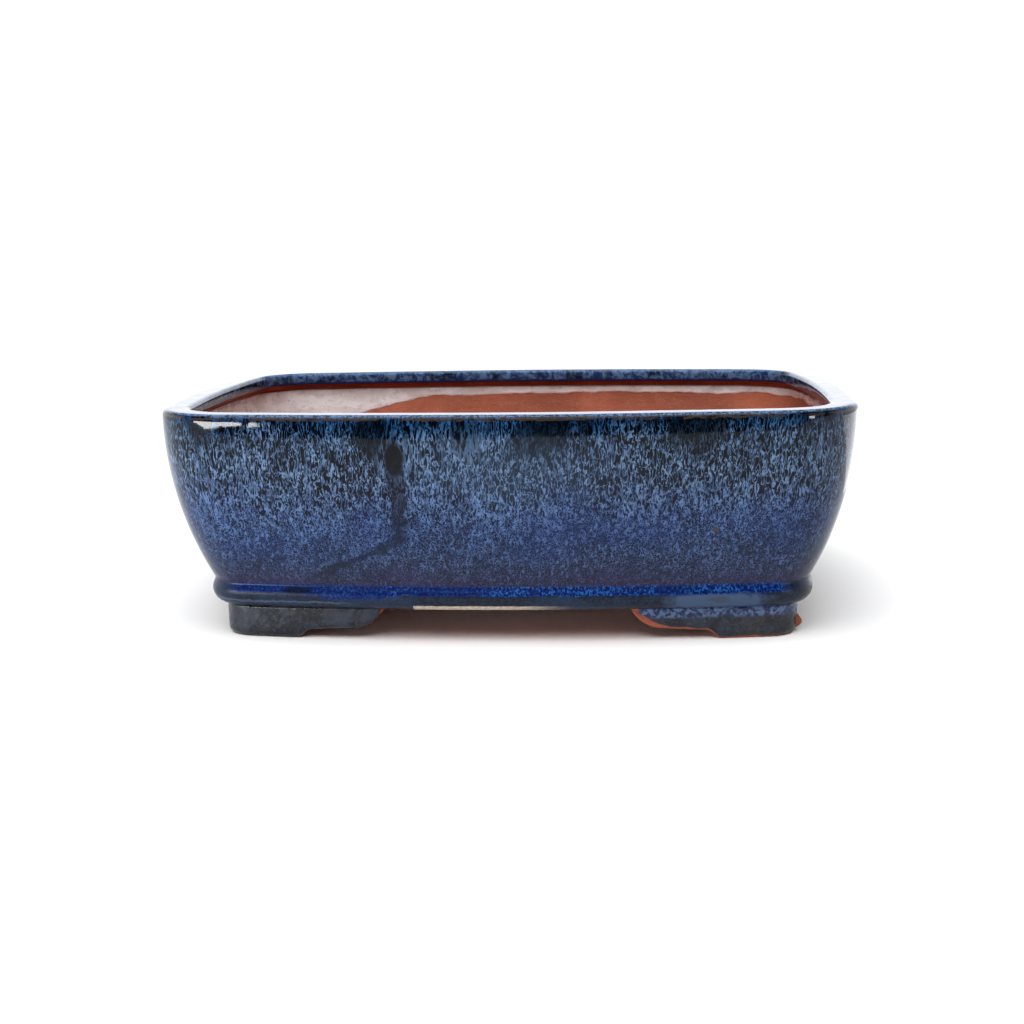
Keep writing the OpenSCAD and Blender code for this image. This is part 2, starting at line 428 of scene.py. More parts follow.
def softened(line, rounds):
    """The line with its corners rounded off by wet fingers."""
    line = np.array(line, float)
    for _ in range(rounds):
        line[1:-1] = line[1:-1] * 0.5 + (line[:-2] + line[2:]) * 0.25
    return line


# A strip is a section drawn once and swept along the pot's outline, wavered by hand.
sweep, given = new_tree("Swept strip", [
    ("Geometry", "NodeSocketGeometry", None),
    ("Section", "NodeSocketObject", None),
    ("Waver", "NodeSocketFloat", 0.0062),
    ("Run depth", "NodeSocketFloat", 0.0),
    ("Runs per metre", "NodeSocketFloat", 95.0),
    ("Seed", "NodeSocketInt", 11),
    ("Finish", "NodeSocketMaterial", None),
])
path = linked(sweep, "GeometryNodeMeshToCurve", {"Mesh": given["Geometry"]})
level = linked(sweep, "GeometryNodeSetCurveNormal", {"Curve": path.outputs[0]}, mode="Z_UP")
drawn = linked(sweep, "GeometryNodeObjectInfo", {"Object": given["Section"]})
section = linked(sweep, "GeometryNodeMeshToCurve", {"Mesh": drawn.outputs["Geometry"]})
swept = linked(sweep, "GeometryNodeCurveToMesh",
               {"Curve": level.outputs[0], "Profile Curve": section.outputs[0]})
at = linked(sweep, "GeometryNodeInputPosition").outputs[0]
facing = linked(sweep, "GeometryNodeInputNormal").outputs[0]
drawn_out = linked(sweep, "ShaderNodeVectorMath", {0: at, 1: (1.0, 1.0, 0.3)},
                   operation="MULTIPLY").outputs[0]
lumps = linked(sweep, "ShaderNodeTexNoise",
               {"Vector": drawn_out, "W": given["Seed"], "Scale": given["Runs per metre"], "Detail": 2.0,
                "Roughness": 0.45}, noise_dimensions="4D").outputs["Fac"]
centred = linked(sweep, "ShaderNodeMath", {0: lumps, 1: -0.75}, operation="ADD").outputs[0]
depth = linked(sweep, "ShaderNodeMath", {0: centred, 1: given["Run depth"]},
               operation="MULTIPLY").outputs[0]
grown = linked(sweep, "ShaderNodeVectorMath", {0: facing, "Scale": depth}, operation="SCALE").outputs[0]
run = linked(sweep, "GeometryNodeSetPosition", {"Geometry": swept.outputs[0], "Offset": grown})
hand = linked(sweep, "GeometryNodeGroup", node_tree=waver)
sweep.links.new(run.outputs[0], hand.inputs["Geometry"])
sweep.links.new(given["Waver"], hand.inputs["Waver"])
real = linked(sweep, "GeometryNodeRealizeInstances", {"Geometry": hand.outputs[0]})
done = linked(sweep, "GeometryNodeSetMaterial",
              {"Geometry": real.outputs[0], "Material": given["Finish"]})
linked(sweep, "NodeGroupOutput", {"Geometry": done.outputs[0]})


def strip(name, section_points, step, finish, slot, *nodes, **values):
    """Sweeps a closed section of (inset, height) points round the whole pot."""
    count = len(section_points)
    template = new_piece(name + "_section", [(-p[0], -p[1], 0) for p in section_points], [],
                         [(i, (i + 1) % count) for i in range(count)])
    track = outline(plan_stations(step), 0.0)
    total = len(track)
    piece = new_piece(name, [(x, y, 0) for x, y in track], [],
                      [(i, (i + 1) % total) for i in range(total)])
    settle(piece, sweep, {"Section": template, "Finish": finish, **values}, slot, *nodes)
    bpy.data.objects.remove(template)
    return piece


clay_step = 0.0026
inside = [(wall_inset(z) + inner_offset, z) for z in heights(floor_high, lip_bottom, 60)]
outside = [(wall_inset(z, glaze_depth), z) for z in heights(lip_bottom, wall_end, 16)]
foot_of_wall = [(groove_inset + glaze_depth, groove_height), (seam_inset, groove_height)]
wall_section = [(seam_inset, floor_high)] + inside + outside + foot_of_wall
strip("wall_clay", wall_section, clay_step, body_clay, "clay", "wall")

# ---------------------------------------------------------------------------------------------
# Seam coil. A thin roll of soft clay thumbed into the inside corner, so that the wall and the
# slab can't part as they dry. The thumb leaves a shallow hollow along it.
# ---------------------------------------------------------------------------------------------
coil_leg = 0.004
coil_foot = wall_inset(floor_high) + inner_offset
coil_top = (wall_inset(floor_high + coil_leg) + inner_offset, floor_high + coil_leg)
hollowing = 1.6
thumbed = [(coil_foot + coil_leg * (1 - t) ** hollowing, floor_high + coil_leg * t**hollowing)
           for t in heights(0, 1, 8)]
coil = [(coil_foot, floor_high)] + thumbed[:-1] + [coil_top]
strip("seam_coil_clay", coil, clay_step, body_clay, "clay", "seam_coil")

# ---------------------------------------------------------------------------------------------
# Rim strap. A flat strap of clay laid on top of the wall. It hangs over inside by a few
# millimetres, and its edges are rounded with a wet finger before glazing.
# ---------------------------------------------------------------------------------------------
rim_width = 0.012
rim_edge = 0.002
lip_edge = 0.0012


def rim_face(depth, fine):
    """From the foot of the inner lip, over the flat top, to the widest line."""
    lip = arc((rim_width - lip_edge, pot_top - lip_edge), lip_edge - depth, 180, 90, fine)
    outer = arc((rim_edge, widest), rim_edge - depth, 90, 0, fine)
    return [(rim_width - depth, lip_bottom)] + lip + outer


strap = rim_face(glaze_depth, 6) + [(wall_inset(lip_bottom, glaze_depth), lip_bottom)]
strip("rim_lip_clay", strap, clay_step, body_clay, "clay", "rim_lip")

# ---------------------------------------------------------------------------------------------
# Base band. A strip of the same clay, rolled to a round face and luted into the rebate over the
# seam of wall and slab. It hides the seam and makes the groove that the glaze pools in.
# ---------------------------------------------------------------------------------------------
band_inset = 0.0174
band_radius = 0.0064
band_centre = (band_inset + band_radius, floor_low + 0.006)
bead_top = groove_height - 0.0006
band_end = -70


def band_face(depth, fine):
    """From the bottom of the groove over the band's round face to its lower edge."""
    radius = band_radius - depth
    top = math.degrees(math.asin((bead_top - band_centre[1]) / radius))
    return [(groove_inset + depth, groove_height)] + arc(band_centre, radius, top, band_end, fine)


band = [(seam_inset, groove_height)] + band_face(glaze_depth, 16) + [(seam_inset, floor_low)]
strip("base_band_clay", band, clay_step, body_clay, "clay", "base_band")

# ---------------------------------------------------------------------------------------------
# Blue glaze. One thick coat of rutile blue over the rim, the wall and the band. It floats into
# pale vertical strands near the top, turns granular lower down, breaks brown on the rim's edge
# and pools deep blue in the groove. The band keeps a thinner, greyer, satin coat.
# ---------------------------------------------------------------------------------------------
line_high, line_low = 0.0245, 0.0212
brown_low, brown_high = 0.0954, 0.0967
feather = 0.0006


def spot(glaze, x, z, wide, tall, soft=0.35, ragged=0.25):
    """How much of a mark at a place on the front shows: 1 in its middle, 0 outside."""
    across = glaze.both(glaze.sum("SUBTRACT", glaze.x, x), 1 / wide)
    up = glaze.both(glaze.sum("SUBTRACT", glaze.z, z), 1 / tall)
    far = glaze.sum("SQRT", glaze.sum("ADD", glaze.both(across, across), glaze.both(up, up)))
    uneven = glaze.both(glaze.sum("SUBTRACT", glaze.cloud(260, 2, 0.5, 0.0), 0.5), ragged * 4)
    shown = glaze.ramp(glaze.sum("ADD", far, uneven), 1 + soft, 1 - soft)
    return glaze.both(shown, glaze.ramp(glaze.y, -0.02, -0.03))


def zones(glaze, value, stops):
    """A colour that changes with height, given as (height, colour) from the bottom up."""
    low, high = stops[0][0], stops[-1][0]
    ramp = glaze.add("ShaderNodeValToRGB", {"Fac": glaze.add(
        "ShaderNodeMapRange", {"Value": value, "From Min": low, "From Max": high}).outputs[0]})
    marks = ramp.color_ramp.elements
    while len(marks) < len(stops):
        marks.new(0.5)
    for mark, (height, _) in zip(marks, stops):
        mark.position = (height - low) / (high - low)
    for mark, (_, colour) in zip(marks, stops):
        mark.color = colour
    return ramp.outputs["Color"]


def blue_glaze(name):
    """The whole coat, from the inner lip over the rim and wall to the band's lower edge."""
    glaze = Finish(name)
    wander = glaze.both(glaze.sum("SUBTRACT", glaze.cloud(34, 3, 0.55), 0.5), 0.02)
    level = glaze.sum("ADD", glaze.z, wander)
    ripple = glaze.sum("SUBTRACT", glaze.cloud(330, 3, 0.6, 0.3, glaze.stretch(1.0, 0.5)), 0.5)
    ripple = glaze.both(ripple, 0.0022)
    line = glaze.sum("ADD", glaze.z, ripple)

    # Threads: fine and pale, long near the rim and short lower down, each in a mid-blue haze.
    long_noise = glaze.cloud(920, 1.5, 0.6, 0.35, glaze.stretch(1.0, 0.22))
    short_noise = glaze.cloud(1250, 1.5, 0.6, 0.25, glaze.stretch(1.0, 0.6, (0.3, 0.1, 0.7)))
    upper = glaze.ramp(level, 0.044, 0.068)
    fibre = glaze.add("ShaderNodeMix", {0: upper, 2: short_noise, 3: long_noise}).outputs[0]
    ridge = glaze.sum("ABSOLUTE", glaze.sum("SUBTRACT", fibre, 0.5))
    density = glaze.cloud(70, 3, 0.6, 0.6, glaze.stretch(1.0, 0.5, (0.9, 0.4, 0.2)))
    reach = glaze.ramp(density, 0.3, 0.7, 0.026, 0.056)
    near = glaze.sum("DIVIDE", ridge, reach)
    threads = glaze.ramp(near, 1.0, 0.2)
    haze = glaze.ramp(near, 2.4, 0.5)
    beads = glaze.cloud(900, 1, 0.5, 0.5, glaze.stretch(1.0, 0.5, (0.2, 0.8, 0.5)))
    beads = glaze.ramp(beads, 0.56, 0.68)
    bright = glaze.ramp(glaze.cloud(420, 2, 0.5, 0.2, glaze.stretch(1.0, 0.5)), 0.32, 0.6, 0.3, 1.0)
    threads = glaze.both(glaze.either(threads, glaze.both(beads, 0.8)), bright)

    # Thin dark patches near the rim, the old drip mark with its trail, and the brighter runs.
    thin = glaze.ramp(glaze.cloud(52, 2, 0.5, 0.3, glaze.stretch(1.0, 0.45, (0.1, 0.6, 0.3))), 0.47, 0.62)
    thin = glaze.both(thin, glaze.ramp(level, 0.070, 0.090))
    patch = glaze.either(spot(glaze, -0.0515, 0.0895, 0.0066, 0.0085, 0.2, 0.12),
                         spot(glaze, -0.0160, 0.0905, 0.0034, 0.0070, 0.2, 0.12))
    oval = spot(glaze, -0.0422, 0.0800, 0.0043, 0.0078, 0.3, 0.14)
    halo = spot(glaze, -0.0422, 0.0815, 0.0062, 0.0096, 0.35, 0.3)
    bend = glaze.ramp(glaze.z, 0.0480, 0.0285, 0.0, -0.033)
    off = glaze.sum("SUBTRACT", glaze.x, glaze.sum("ADD", bend, -0.0418))
    off = glaze.sum("ADD", off, glaze.both(glaze.sum("SUBTRACT", glaze.cloud(210, 2), 0.5), 0.011))
    trail = glaze.ramp(glaze.sum("ABSOLUTE", off), 0.0054, 0.0014)
    trail_ends = glaze.both(glaze.ramp(glaze.z, 0.0265, 0.031), glaze.ramp(glaze.z, 0.078, 0.071))
    trail = glaze.both(trail, glaze.both(trail_ends, glaze.ramp(glaze.y, -0.03, -0.05)))
    marks = glaze.either(oval, glaze.both(trail, 0.8))
    calm = glaze.either(glaze.both(glaze.either(thin, patch), 0.85), marks)
    left_over = glaze.sum("SUBTRACT", 1.0, calm)
    threads = glaze.both(threads, left_over)
    haze = glaze.both(haze, left_over)
    ring = glaze.both(glaze.both(halo, glaze.sum("SUBTRACT", 1.0, oval)), glaze.ramp(fibre, 0.42, 0.6))
    run_mark = spot(glaze, -0.0130, 0.0890, 0.0075, 0.0105, 0.5, 0.4)
    run_mark = glaze.both(run_mark, glaze.ramp(fibre, 0.45, 0.58))
    threads = glaze.either(threads, glaze.both(glaze.either(ring, glaze.both(run_mark, 0.7)), 0.5))

    # The colours by height: ground, haze and thread.
    ground = zones(glaze, level, [
        (0.0262, tone(23, 24, 43)), (0.0305, tone(18, 23, 39)), (0.038, tone(12, 19, 34)),
        (0.050, tone(10, 16, 33)), (0.062, tone(8, 11, 22)), (0.076, tone(7, 9, 15)),
        (0.0885, tone(3, 6, 10)), (0.098, tone(1, 2, 6)),
    ])
    hazed = zones(glaze, level, [
        (0.0262, tone(32, 32, 58)), (0.0305, tone(26, 34, 58)), (0.038, tone(23, 36, 63)),
        (0.050, tone(22, 37, 72)), (0.062, tone(28, 44, 75)), (0.076, tone(27, 41, 66)),
        (0.0885, tone(13, 26, 49)), (0.098, tone(1, 14, 32)),
    ])
    pale = zones(glaze, level, [
        (0.0262, tone(53, 55, 91)), (0.0305, tone(58, 71, 106)), (0.038, tone(66, 86, 126)),
        (0.050, tone(70, 95, 139)), (0.062, tone(82, 106, 143)), (0.076, tone(94, 118, 149)),
        (0.0885, tone(80, 106, 138)), (0.0935, tone(40, 76, 112)), (0.098, tone(26, 68, 110)),
    ])
    colour = glaze.blend(haze, ground, hazed)
    colour = glaze.blend(threads, colour, pale)
    cloudy = spot(glaze, 0.006, 0.074, 0.036, 0.013, 0.6, 0.3)
    colour = glaze.blend(glaze.both(cloudy, 0.12), colour, tone(63, 87, 116))
    drift = glaze.ramp(glaze.cloud(24, 2, 0.5, 0.3, glaze.stretch(1.0, 1.6)), 0.42, 0.62)
    mid_wall = glaze.both(glaze.ramp(level, 0.033, 0.042), glaze.ramp(level, 0.070, 0.054))
    drift = glaze.both(drift, mid_wall)
    colour = glaze.blend(glaze.both(drift, 0.25), colour, tone(17, 34, 80))

    # Over the rim: a pale rolled top, blue streaks on the inner lip, and clay showing brown along
    # the outer edge.
    turned_to = glaze.add("ShaderNodeNewGeometry").outputs["Normal"]
    flat = glaze.add("ShaderNodeVectorMath", {0: glaze.place, 1: (1.0, 1.0, 0.0)},
                     operation="MULTIPLY").outputs[0]
    outward = glaze.add("ShaderNodeVectorMath", {0: turned_to, 1: flat},
                        operation="DOT_PRODUCT").outputs["Value"]
    outer = glaze.ramp(outward, -0.01, 0.01)
    inner = glaze.sum("SUBTRACT", 1.0, outer)
    lip_cloud = glaze.ramp(glaze.cloud(52, 4, 0.7, 1.4), 0.36, 0.52)
    lip = glaze.ramp(glaze.cloud(260, 3, 0.6, 0.9), 0.38, 0.6)
    lip = glaze.blend(lip, tone(28, 50, 92), tone(84, 112, 150))
    lip = glaze.blend(lip_cloud, tone(14, 20, 32), lip)
    lip = glaze.blend(glaze.ramp(line, 0.0935, 0.0925), lip, tone(21, 36, 90))
    colour = glaze.blend(glaze.both(inner, glaze.ramp(glaze.z, 0.0905, 0.0912)), colour, lip)
    top = glaze.ramp(glaze.z, 0.0968, 0.0975)
    top = glaze.both(top, glaze.ramp(fibre, 0.42, 0.56, 0.2, 0.9))
    colour = glaze.blend(top, colour, tone(90, 114, 152))
    edge_line = glaze.both(glaze.ramp(line, brown_low, brown_low + 0.0004),
                           glaze.ramp(line, brown_high, brown_high - 0.0005))
    broken = glaze.ramp(glaze.cloud(120, 3, 0.6, 0.2), 0.34, 0.5)
    colour = glaze.blend(glaze.both(glaze.both(edge_line, outer), broken), colour, tone(46, 38, 33))
    fleck = spot(glaze, 0.0855, 0.0499, 0.0012, 0.0009, 0.3, 0.1)
    colour = glaze.blend(fleck, colour, tone(56, 48, 45))

    # Groove: the glaze pools there in a saturated blue line that thins out at the corners.
    turning = glaze.both(glaze.ramp(glaze.sum("ABSOLUTE", glaze.x), 0.112, 0.119),
                         glaze.ramp(glaze.sum("ABSOLUTE", glaze.y), 0.068, 0.076))
    hang = glaze.both(spot(glaze, -0.0660, 0.021, 0.017, 0.004, 0.4, 0.3), 0.0020)
    low_line = glaze.sum("ADD", line, hang)
    pool = glaze.both(glaze.ramp(line, line_high + feather, line_high),
                      glaze.ramp(low_line, line_low - feather, line_low))
    pool = glaze.both(pool, glaze.sum("SUBTRACT", 1.0, glaze.both(turning, 0.9)))
    specks = glaze.ramp(glaze.cloud(1250, 3, 0.6, 0.3, glaze.stretch(1.0, 0.7)), 0.47, 0.62)
    paler = glaze.ramp(glaze.cloud(26, 2, 0.5), 0.42, 0.6, 0.25, 0.75)
    deep = glaze.blend(glaze.both(specks, paler), tone(0, 16, 66), tone(34, 84, 150))
    dark_run = spot(glaze, -0.0875, 0.0222, 0.0065, 0.0015, 0.4, 0.3)
    deep = glaze.blend(glaze.both(dark_run, 0.85), deep, tone(2, 5, 23))

    # Band: thin satin grey-blue, a worn patch at the right, bare clay along its lower edge.
    misty = glaze.cloud(58, 3, 0.55, 0.4, glaze.stretch(1.0, 2.0))
    fine = glaze.ramp(glaze.cloud(900, 2, 0.6), 0.4, 0.62)
    satin = glaze.blend(glaze.ramp(misty, 0.4, 0.62), tone(11, 17, 27), tone(21, 32, 50))
    satin = glaze.blend(glaze.both(fine, 0.3), satin, tone(40, 54, 78))
    worn = spot(glaze, 0.0870, 0.0175, 0.021, 0.0042, 0.25, 0.2)
    satin = glaze.blend(glaze.both(worn, 0.6), satin, tone(62, 80, 110))
    olive = spot(glaze, 0.0880, 0.0185, 0.0040, 0.0012, 0.5, 0.3)
    satin = glaze.blend(glaze.both(olive, 0.5), satin, tone(44, 47, 44))
    # Painted highlight: a pale line along the band's upper face at the left end, standing in for the
    # front-left soft box's reflection.
    painted_band_highlight = glaze.both(glaze.ramp(glaze.x, -0.060, -0.075), glaze.both(
        glaze.ramp(line, 0.0166, 0.0170), glaze.ramp(line, 0.0180, 0.0174)))
    satin = glaze.blend(glaze.both(painted_band_highlight, 0.6), satin, tone(62, 79, 103))
    on_band = glaze.ramp(low_line, line_low + feather / 2, line_low - feather / 2)
    on_band = glaze.either(on_band, glaze.both(turning, glaze.ramp(line, 0.0254, 0.0246)))
    colour = glaze.blend(on_band, colour, satin)
    colour = glaze.blend(pool, colour, deep)
    bare = glaze.both(glaze.ramp(glaze.x, -0.0385, -0.0380), glaze.ramp(glaze.x, 0.030, 0.0))
    wiped_line = glaze.sum("ADD", glaze.z, glaze.both(ripple, 0.3))
    bare = glaze.both(bare, glaze.ramp(wiped_line, 0.0168, 0.0162))
    bare = glaze.both(bare, glaze.ramp(glaze.y, -0.03, -0.05))
    colour = glaze.blend(bare, colour, glaze.blend(fine, tone(148, 134, 119), tone(170, 162, 150)))

    # Glass-smooth on the wall, satin on the band, dry where the clay is bare.
    gloss = glaze.sum("ADD", glaze.ramp(fibre, 0.3, 0.7, 0.03, 0.06), glaze.both(on_band, 0.27))
    gloss = glaze.sum("ADD", gloss, glaze.sum("ADD", glaze.both(bare, 0.3), glaze.both(pool, 0.22)))
    normal = glaze.relief(threads, 0.0000016)
    normal = glaze.relief(glaze.cloud(120, 2, 0.4), 0.00005, normal)
    return glaze.fire(colour, gloss, normal, IOR=1.24)


coat_top = rim_face(0.0, 10)
coat_wall = [(wall_inset(z), z) for z in heights(widest, wall_end, 90)][1:]
filled = [(groove_inset - 0.0011, groove_height + 0.0004)] + band_face(0.0, 24)[5:]
coat_gap = 0.00034
coat_outer = softened(even(coat_top + coat_wall + filled, coat_gap), 6)
coat_outer = coat_outer[[0] + list(range(2, len(coat_outer) - 2, 3)) + [len(coat_outer) - 1]]
bare_wall = [(wall_inset(z, glaze_depth), z) for z in heights(widest, wall_end, 24)][1:]
coat_inner = even(rim_face(glaze_depth, 5) + bare_wall + band_face(glaze_depth, 10), 0.004)
# The coat thins to a rounded edge where it ends, inside the lip and under the band.
coat_ends = ((coat_outer[:8], coat_inner[0], 0.75), (coat_outer[::-1][:4], coat_inner[-1], 0.3))
for end, last, thinned in coat_ends:
    for i, point in enumerate(end):
        end[i] = point + (last - point) * thinned * (1 - i / len(end)) ** 2
coat = [tuple(p) for p in coat_outer] + [tuple(p) for p in coat_inner[::-1]]
glaze_blue = blue_glaze("rutile blue glaze")
strip("blue_glaze_coat", coat, 0.0019, glaze_blue, "blue_glaze", "outer_glaze", **{"Run depth": 0.0002})

# ---------------------------------------------------------------------------------------------
# Inside lap. A thin pale wash of the same glaze that ran over the lip and down the wall inside.
# It ends in a soft uneven edge, lowest at the left.
# ---------------------------------------------------------------------------------------------
lap_top = lip_bottom - 0.0025
lap_low = lap_top - 0.0050
lap_depth = 0.00035
lap_sag = 0.012
lap_sunk = 0.0001


def lap_end(x, y):
    """Height of the wash's lower edge at a place on the plan."""
    ripple = 0.0013 * noise.noise(Vector((x * 52, y * 52, 4)))
    ripple += 0.0006 * noise.noise(Vector((x * 210, y * 210, 9)))
    to_left = 1 / (1 + math.exp((x + 0.076) / 0.010))
    to_back = 1 / (1 + math.exp(-(y - 0.01) / 0.016))
    sag = to_left * (0.25 + 0.75 * to_back) * (1 + 0.55 * noise.noise(Vector((x * 34, y * 34, 2))))
    return lap_low + 0.0008 + ripple - lap_sag * sag


def loft(name, stations, section_at, closed=True):
    """Skins a run of sections of equal length; section_at gives (inset, height) points at a place."""
    total = len(stations)
    points, count = [], 0
    base = outline(stations, 0.0)
    for k in range(total):
        rows = section_at(k, base[k])
        count = len(rows)
        cx, cy, radius, turn = stations[k]
        for inset, height in rows:
            reach = radius - inset
            points.append((cx + reach * math.cos(turn), cy + reach * math.sin(turn), height))
    faces = []
    for k in range(total if closed else total - 1):
        a, b = k * count, ((k + 1) % total) * count
        for i in range(count):
            j = (i + 1) % count
            faces.append((a + i, a + j, b + j, b + i))
    if not closed:
        faces.append(tuple(range(count)))
        faces.append(tuple(reversed(range((total - 1) * count, total * count))))
    return new_piece(name, points, faces)


lap_stations = plan_stations(0.0019)


def lap_section(_, place):
    low = lap_end(*place)
    face = [(wall_inset(z) + inner_offset, z) for z in heights(lap_top, low, 14)]
    proud = [(wall_inset(z) + inner_offset + lap_depth * min(1, 6 * t * (1 - t) + 0.12), z)
             for t, z in zip(heights(0, 1, 14), heights(low, lap_top, 14))]
    return [(inset - lap_sunk, z) for inset, z in face] + proud


wash = Finish("pale glaze wash")
veil = wash.cloud(60, 3, 0.55, 0.3, wash.stretch(1.0, 2.4))
milk = wash.blend(wash.ramp(veil, 0.36, 0.62), tone(206, 199, 198), tone(230, 228, 230))
bluish = wash.ramp(wash.cloud(480, 2, 0.6), 0.56, 0.7)
milk = wash.blend(wash.both(bluish, 0.3), milk, tone(118, 122, 150))
milk = wash.blend(wash.both(wash.ramp(wash.z, 0.0882, 0.0891), 0.8), milk, tone(104, 66, 56))
lap_finish = wash.fire(milk, wash.ramp(veil, 0.3, 0.7, 0.16, 0.34), wash.relief(veil, 0.0002), IOR=1.45)
lap = loft("inner_lap_glaze", lap_stations, lap_section)
settle(lap, loose, {"Finish": lap_finish}, "pale_glaze", "inner_glaze_lap")

# ---------------------------------------------------------------------------------------------
# Feet. Four curbs of clay luted under the slab, each turning a corner. The lower edge rises
# from the ground in a small lobe, runs level, and then curves up to the slab.
# ---------------------------------------------------------------------------------------------
foot_inset = 0.0236
foot_near = foot_inset + glaze_depth
foot_far = foot_near + 0.011
lobe, rise_run = 0.007, 0.014
shelf_low, shelf_end = 0.0038, 0.0048
long_ground, long_shelf = 0.090, 0.0175
short_ground, short_shelf = 0.057, 0.010


def under_edge(along, ground, shelf):
    """Height of a foot's lower edge at a distance from the middle of the side."""
    back = ground - along
    if back <= 0:
        return 0.0
    if back <= lobe:
        return shelf_low * (1 - math.cos(math.pi * back / lobe)) / 2
    if back <= lobe + shelf:
        return shelf_low + (shelf_end - shelf_low) * (back - lobe) / shelf
    run, rise = back - lobe - shelf, floor_low - shelf_end
    radius = arc_radius(rise_run, rise)
    return shelf_end + radius - math.sqrt(max(radius**2 - min(run, rise_run) ** 2, 0.0))


fine_stations = plan_stations(0.0009)
fine_places = outline(fine_stations, foot_near + 0.004)
shared_turn = 0.006
thinnest = 0.0005


def foot_stretch(side_x, side_y):
    """The stations of one quarter of the plan that a foot covers, and its lower edge at each."""
    order = []
    for k, (x, y) in enumerate(fine_places):
        if x * side_x <= 0 or y * side_y <= 0:
            continue
        long_side = abs(y) > corner[1] and abs(x) < corner[0] + shared_turn
        short_side = abs(x) > corner[0] and abs(y) < corner[1] + shared_turn
        low = 0.0
        if long_side:
            low = under_edge(abs(x), long_ground, long_shelf)
        if short_side:
            low = max(low, under_edge(abs(y), short_ground, short_shelf))
        if low < floor_low - thinnest:
            order.append((k, low))
    cut = [i for i in range(1, len(order)) if order[i][0] - order[i - 1][0] > 1]
    if cut:
        order = order[cut[0]:] + order[:cut[0]]
    return [k for k, _ in order], [low for _, low in order]


foot_round = 0.0013
foot_hollow = 0.00025
lump_height, lump_tall, lump_wide, lump_proud = 0.0048, 0.0028, 0.0068, 0.0044


def rounded_by(low):
    """Radius of a foot's lower edges, less where the foot is thin."""
    return min(foot_round, (floor_low - low) * 0.4)


def foot_section(low, seed, place, lump=0.0):
    """A foot's section: upright faces, rounded lower edges and slightly hollow sides."""
    tall = floor_low - low
    soft = rounded_by(low)
    wave = 0.00022 * noise.noise(Vector((place[0] * 80, place[1] * 80, seed)))
    near, far = foot_near - wave, foot_far + wave
    rows = [(near + 0.0001, floor_low)]
    for t in heights(0.12, 0.88, 8):
        z = floor_low - (tall - soft) * t
        swell = lump * math.exp(-((z - lump_height) / lump_tall) ** 2)
        rows.append((near + foot_hollow * math.sin(math.pi * t) - swell, z))
    rows += arc((near + soft, low + soft), soft, 0, -90, 5)
    rows += arc((far - soft, low + soft), soft, -90, -180, 5)
    rows += [(far - 0.0002, floor_low - tall * 0.3), (far, floor_low)]
    return rows


def make_foot(name, node, side_x, side_y, seed, burr=None):
    picked, lows = foot_stretch(side_x, side_y)
    stations = fine_stations[picked]

    def section_at(k, place):
        lump = 0.0
        if burr is not None:
            away = math.hypot(place[0] - burr[0], place[1] - burr[1])
            rough = 0.75 + 0.5 * noise.noise(Vector((place[0] * 600, place[1] * 600, seed)))
            lump = lump_proud * math.exp(-((away / lump_wide) ** 2)) * rough
        return foot_section(lows[k], seed, place, lump)

    piece = loft(name, stations, section_at, closed=False)
    return settle(piece, loose, {"Finish": body_clay}, "clay", node)


# A crumb of clay stuck to the front right corner, and was fired on.
burr_turn = math.radians(-12)
burr_place = corner * (1, -1) + corner_radius * np.array([math.cos(burr_turn), math.sin(burr_turn)])
make_foot("foot_front_left_clay", "foot_front_left", -1, -1, 1.0)
make_foot("foot_front_right_clay", "foot_front_right", 1, -1, 2.0, burr_place)
make_foot("foot_back_left_clay", "foot_back_left", -1, 1, 3.0)
make_foot("foot_back_right_clay", "foot_back_right", 1, 1, 4.0)

# ---------------------------------------------------------------------------------------------
# Foot glaze. The feet's outer faces take the glaze that runs off the band. It is thinner and
# greyer, and the lower edge is wiped back so that the pot doesn't stick to the kiln shelf.
# ---------------------------------------------------------------------------------------------
def foot_glaze_finish(name):
    glaze = Finish(name)
    mottle = glaze.cloud(120, 4, 0.62, 0.7)
    fine = glaze.cloud(700, 2, 0.6, 0.4)
    pale = glaze.blend(glaze.ramp(mottle, 0.38, 0.64), tone(14, 17, 24), tone(28, 35, 48))
    brown = glaze.ramp(glaze.cloud(52, 3, 0.6, 0.6), 0.5, 0.66)
    pale = glaze.blend(glaze.both(brown, 0.6), pale, tone(41, 37, 35))
    pale = glaze.blend(glaze.both(glaze.ramp(fine, 0.56, 0.66), 0.3), pale, tone(60, 67, 79))
    pooled = glaze.both(glaze.ramp(glaze.z, 0.0088, 0.0108), glaze.ramp(glaze.x, 0.03, 0.06))
    blue = glaze.ramp(glaze.cloud(520, 2, 0.6, 0.5), 0.42, 0.6)
    blue = glaze.blend(blue, tone(12, 24, 66), tone(78, 102, 140))
    colour = glaze.blend(glaze.both(pooled, 0.8), pale, blue)
    rough = glaze.ramp(mottle, 0.3, 0.7, 0.2, 0.36)
    normal = glaze.relief(glaze.cloud(260, 3, 0.5), 0.0003)
    return glaze.fire(colour, rough, normal, IOR=1.36)


foot_finish = foot_glaze_finish("satin blue foot glaze")
skin_shortest = 0.002


